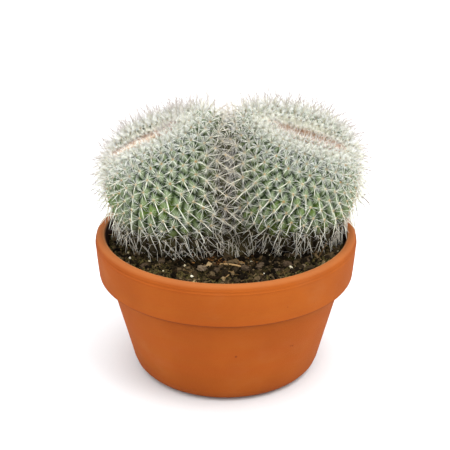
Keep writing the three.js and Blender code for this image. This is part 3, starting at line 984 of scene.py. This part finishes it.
def make_radials(tips, name, random):
    """Fine white spines that spread round each areole, flat on the old tubercles and upright at the crown.
    They are closest in the fork and at the crown, and fewest at the plant's sides and foot."""
    rows = spine_rows(tips, RADIALS)
    rows["turn"] = np.tile(np.arange(RADIALS) * tau / RADIALS, len(tips["ring"]))
    rows["crown"] = smooth_step(10, 4, rows["ring"])
    height = rows["point"][:, 2]
    patches = np.repeat(noise_at(tips["point"], 0.02), RADIALS)
    share = 0.66 + 0.34 * rows["crown"] + 0.25 * patches - 0.15 * smooth_step(0.15, 0.13, height)
    share = share + 0.4 * near_fork(rows["point"], 0.014) - 0.45 * side_on(rows)
    foot = smooth_step(0.118, 0.106, height)
    rows = kept(rows, share * (1 - 0.85 * foot), random)
    count = len(rows["ring"])
    young = smooth_step(9, 1, rows["ring"])
    turn = rows["turn"] + random.normal(0, 0.3, count)
    edge, side = turned_away(rows), side_on(rows)
    upright = random.uniform(0, 1, count) < 0.13 + 0.12 * young + 0.1 * edge
    lift = radians(4) + young * radians(26) + upright * radians(40) + random.normal(0, radians(8), count)
    directions = directions_of(rows, turn, lift)
    full = blend(OLD_RADIAL, YOUNG_RADIAL, rows["crown"]) * np.where(upright, 1.35 + 0.25 * edge, 1)
    lengths = full * random.uniform(0.6, 1.25, count) * growth(rows["ring"], edge)
    roots = rows["point"] + directions * 0.0007
    lengths = within_reach(roots, directions, lengths)
    bends = rows["normal"] * random.uniform(0.05, 0.4, count)[:, None]
    bends += np.cross(rows["normal"], directions) * random.normal(0, 0.2, count)[:, None]
    # young is painted shade here: darker tips on upright spines turned away from the front and on spines at
    # the plant's sides
    marks = dict(old=wear_and_shade(rows["point"]) * 0.8,
                 young=np.maximum(edge * upright, 0.6 * side),
                 tone=random.uniform(0, 1, count))
    thick = np.maximum(smooth_step(8, 4, rows["ring"]), 0.6 * wear_and_shade(rows["point"]))
    thickness = blend(RADIAL_THICKNESS, CROWN_RADIAL_THICKNESS, thick)
    return grown(name, spine_template(3, [0.6]), roots, directions, bends, lengths, thickness / 2, marks)


def make_centrals(tips, name, random):
    """Stout spines: long ones that point down the head, and shorter, thinner ones beside and above them.
    The low ones hang and cross. Fewer grow above old areoles, and low down at the plant's sides."""
    rows = spine_rows(tips, len(CENTRALS))
    areoles = len(tips["ring"])
    low_line = LOW_LINE + np.repeat(random.normal(0, 0.003, areoles), len(CENTRALS))
    low = rows["point"][:, 2] < low_line
    kind = np.where(low[:, None], np.tile(LOW_CENTRALS, (areoles, 1)), np.tile(CENTRALS, (areoles, 1)))
    degrees = kind[:, 0]
    width = np.where((np.abs(degrees) < 30) | low, 1, 0.65)
    rows.update(turn=np.radians(degrees), length=kind[:, 1], low=low, width=width)
    above = (degrees > 160) & (rows["ring"] > 6)
    outer = smooth_step(0.03, 0.06, np.abs(rows["point"][:, 0]))
    rows = kept(rows, np.where(low, blend(0.95, 0.6, outer), np.where(above, 0.4, 1)), random)
    low, ring = rows["low"], rows["ring"]
    count = len(ring)
    crown = smooth_step(12, 2, ring)
    turn = rows["turn"] + random.normal(0, 1, count) * np.where(low, radians(22), radians(13))
    lift = np.where(low, radians(26), radians(36)) + crown * radians(26)
    lift = lift + random.normal(0, radians(13), count)
    directions = directions_of(rows, turn, lift)
    droop = smooth_step(0.12, 0.1, rows["point"][:, 2])[:, None] * 0.3
    directions = unit(directions * (1 - droop) + np.array([0, 0, -1.0]) * droop)
    full = blend(rows["length"], CROWN_CENTRAL, smooth_step(14, 6, ring))
    edge = turned_away(rows)
    full = full * (1 + 0.25 * np.maximum(edge, wear_and_shade(rows["point"])) * ~low)
    lengths = full * random.uniform(0.7, 1.15, count) * growth(ring, edge)
    stray = np.where(low, 0.0024, 0.0002) * random.normal(0, 1, count)
    roots = rows["point"] + rows["normal"] * 0.0002 + rows["across"] * stray[:, None]
    lengths = within_reach(roots, directions, lengths)
    bends = rows["away"] * random.normal(0, 0.08, count)[:, None] + rows["normal"] * 0.06
    # young marks young crown spines and, as painted shade, the spines turned away from the front, for
    # darker tips
    marks = dict(old=wear_and_shade(rows["point"]) * 0.8,
                 young=np.maximum(0.4 * smooth_step(11, 2, ring), edge),
                 tone=random.uniform(0, 1, count))
    thickness = CENTRAL_THICKNESS * rows["width"] * np.where(low, 0.58, blend(1, 0.65, crown))
    radii = thickness * random.uniform(0.75, 1.1, count) * (1 + 0.35 * edge) / 2
    return grown(name, spine_template(4, [0.45, 0.85]), roots, directions, bends, lengths, radii, marks)


def make_young_spines(head, name, random):
    """The growing line's own spines: short, close and nearly upright, pale and brown in clumps."""
    lattice = skin_lattice(head, 3)
    ring, place = np.meshgrid(lattice["ring"], lattice["place"], indexing="ij")
    places = chosen_frames(lattice, ring, ring < growth_width(head, place, GROWTH_BEHIND))
    rows = spine_rows(places, YOUNG_SPINES)
    count = len(rows["ring"])
    clumps = np.repeat(noise_at(places["point"], 0.0025), YOUNG_SPINES)
    pale = random.uniform(0, 1, count) < 0.45 + 0.2 * rows["ring"] + 0.8 * clumps
    lift = radians(84) - np.abs(random.normal(0, radians(18), count))
    directions = directions_of(rows, random.uniform(0, tau, count), lift)
    lengths = random.uniform(0.002, 0.0034, count) * np.where(pale, 1, 1.5)
    roots = rows["point"] - rows["normal"] * 0.0012 + random.normal(0, 0.0004, (count, 3))
    bends = random.normal(0, 0.1, (count, 3))
    marks = dict(old=pale * random.uniform(0.5, 1, count), young=np.full(count, 0.4),
                 tone=random.uniform(0, 1, count))
    return grown(name, spine_template(3, [0.5]), roots, directions, bends, lengths,
                 np.full(count, YOUNG_THICKNESS / 2), marks)


def make_areoles(tips, random):
    """A tuft of wool on each areole above the lowest ones."""
    ball = begin("tuft", bpy.ops.mesh.primitive_ico_sphere_add, subdivisions=2, radius=1)
    shape, triangles = taken(ball)
    tips = kept(tips, tips["point"][:, 2] > LOW_LINE, random)
    count = len(tips["ring"])
    shape = shape[None] * (1 + random.normal(0, 0.09, (count, len(shape), 1)))
    size = blend(0.0005, 0.0008, smooth_step(1, 6, tips["ring"]))[:, None, None]
    points = (
        tips["point"][:, None]
        + tips["away"][:, None] * shape[..., :1] * size
        + tips["across"][:, None] * shape[..., 1:2] * size
        + tips["normal"][:, None] * shape[..., 2:] * size * 0.6
    )
    stain = np.clip(random.normal(0.35, 0.3, count), 0, 0.9)
    return merged("areole_wool", points, triangles, {"stain": stain[:, None]})


def make_cactus(left, right):
    random = np.random.default_rng(41)
    make_skin()
    tips = [visible_tips(left, right), visible_tips(right, left)]
    fork = visible_tips(visible_tips(stem_tips(), left), right)
    for own, on_side in zip(tips, (fork["point"][:, 0] < 0, fork["point"][:, 0] >= 0)):
        own.update({key: np.concatenate([own[key], fork[key][on_side]]) for key in own})
    for own in tips:
        aside, down = random.normal(0, 0.0004, (2, len(own["ring"]), 1))
        own["point"] = own["point"] + aside * own["across"] + down * own["away"]
    radial_finish = spine_finish("radial_spines", "dfe2d0", "f9faf1", "958b8a", "eadccb")
    central_finish = spine_finish("central_spines", "9c7e3a", "e2e2cc", "7e7472", "e0d2bc")
    young_finish = spine_finish("young_spines", "c98f60", "98663e", "4a2a18", "dcbc9a")
    for own, head, side in zip(tips, HEADS, ("left", "right")):
        finished(make_young_spines(head, "young_spines_" + side, random), young_finish, "cactus")
        finished(make_radials(own, "radial_spines_" + side, random), radial_finish, "cactus")
        finished(make_centrals(own, "central_spines_" + side, random), central_finish, "cactus")
    both = {key: np.concatenate([own[key] for own in tips]) for key in tips[0]}
    finished(make_areoles(both, random), areole_wool(), "cactus")


# The studio: soft light from above that fades towards the horizon
HORIZON_LIGHT = 0.5
ZENITH_LIGHT = 3.1


def make_studio():
    floor = begin("floor", bpy.ops.mesh.primitive_plane_add, size=6)
    floor.data.materials.append(studio_floor())
    world = bpy.data.worlds.new("studio")
    world.use_nodes = True
    sky = world.node_tree.nodes["Background"]
    sky.inputs["Color"].default_value = (0.975, 0.985, 1, 1)
    place = world.node_tree.nodes.new("ShaderNodeTexCoord")
    parts = world.node_tree.nodes.new("ShaderNodeSeparateXYZ")
    dome = world.node_tree.nodes.new("ShaderNodeMapRange")
    dome.inputs["To Min"].default_value = HORIZON_LIGHT
    dome.inputs["To Max"].default_value = ZENITH_LIGHT
    world.node_tree.links.new(place.outputs["Generated"], parts.inputs["Vector"])
    world.node_tree.links.new(parts.outputs["Z"], dome.inputs["Value"])
    world.node_tree.links.new(dome.outputs["Result"], sky.inputs["Strength"])
    bpy.context.scene.world = world
    bpy.context.scene.view_settings.view_transform = "Standard"
    for name, place, size, power in (
        ("key", (0.6, -0.6, 1.4), 0.7, 12),
        ("fill", (-0.8, -0.7, 1.0), 0.8, 0.5),
    ):
        light = bpy.data.lights.new(name, "AREA")
        light.size = size
        light.energy = power
        lamp = bpy.data.objects.new(name, light)
        lamp.location = place
        lamp.rotation_euler = (Vector((0, 0, 0.1)) - Vector(place)).to_track_quat("-Z", "Y").to_euler()
        bpy.context.scene.collection.objects.link(lamp)


# Where the photograph was taken from. The focal length is in pixels of a frame 450 pixels wide, and the
# target lies a little off the frame's middle, right and down, also in pixels.
TARGET = Vector((0, 0, 0.1))
ELEVATION = radians(24)
DISTANCE = 0.8
FRAME_PIXELS = 450
FOCAL_PIXELS = 1155.6
OFF_MIDDLE = (1, 3.5)
SENSOR = 36


def make_camera():
    data = bpy.data.cameras.new("camera")
    data.sensor_width = SENSOR
    data.lens = FOCAL_PIXELS * SENSOR / FRAME_PIXELS
    data.shift_x = -OFF_MIDDLE[0] / FRAME_PIXELS
    data.shift_y = OFF_MIDDLE[1] / FRAME_PIXELS
    camera = bpy.data.objects.new("camera", data)
    back = Vector((0, -cos(ELEVATION), sin(ELEVATION)))
    camera.location = TARGET + back * DISTANCE
    camera.rotation_euler = (-back).to_track_quat("-Z", "Y").to_euler()
    bpy.context.scene.collection.objects.link(camera)
    bpy.context.scene.camera = camera


make_camera()
make_studio()
make_pot()
make_soil()
left_tips, right_tips = (head_tips(head) for head in HEADS)
make_soil_bits({key: np.concatenate([left_tips[key], right_tips[key]]) for key in left_tips})
make_cactus(left_tips, right_tips)
